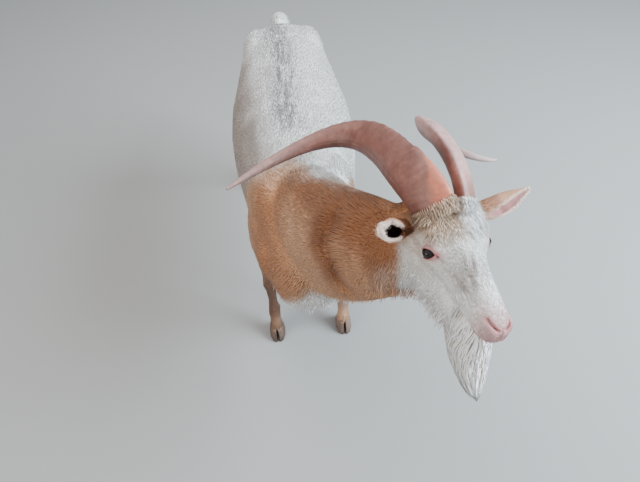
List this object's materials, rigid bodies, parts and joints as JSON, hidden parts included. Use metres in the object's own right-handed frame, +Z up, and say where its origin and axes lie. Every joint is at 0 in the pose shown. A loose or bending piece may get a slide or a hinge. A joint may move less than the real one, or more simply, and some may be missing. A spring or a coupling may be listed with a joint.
{
  "type": "standing horned goat",
  "caption": "Life-size standing billy goat with long twisted horns, beard, hanging coat and cloven hooves, its head turned to one side.",
  "frame": {"origin": "centre of the bottom of the bounding box, on the ground the hooves stand on", "axes": "+Z up, the goat faces -Y, and its own left side is towards +X"},
  "size_m": [0.7172, 1.3756, 0.9827],
  "materials": {
    "coat_white": "short dense hair, white to cream",
    "coat_tan": "short dense hair, tan",
    "ear": "short hair over thin skin, pink inside",
    "horn": "ringed horn, satin",
    "hoof": "worn hoof horn, dull",
    "eye": "wet gloss"
  },
  "bodies": {
    "root": {"head": "coat_white", "neck": "coat_tan", "trunk": "coat_white", "tail": "coat_white", "foreleg_left": "coat_tan", "foreleg_right": "coat_tan", "foreleg_lower_left": "coat_white", "foreleg_lower_right": "coat_white", "hindleg_left": "coat_white", "hindleg_right": "coat_white", "hindleg_lower_left": "coat_white", "hindleg_lower_right": "coat_white", "beard": "coat_white", "ear_left": "ear", "ear_right": "ear", "eye_left": "eye", "eye_right": "eye", "horn_left": "horn", "horn_right": "horn", "claw_fore_left_inner": "hoof", "claw_fore_left_outer": "hoof", "claw_fore_right_inner": "hoof", "claw_fore_right_outer": "hoof", "claw_hind_left_inner": "hoof", "claw_hind_left_outer": "hoof", "claw_hind_right_inner": "hoof", "claw_hind_right_outer": "hoof", "dewclaw_fore_left_inner": "hoof", "dewclaw_fore_left_outer": "hoof", "dewclaw_fore_right_inner": "hoof", "dewclaw_fore_right_outer": "hoof", "dewclaw_hind_left_inner": "hoof", "dewclaw_hind_left_outer": "hoof", "dewclaw_hind_right_inner": "hoof", "dewclaw_hind_right_outer": "hoof"}
  },
  "joints": []
}
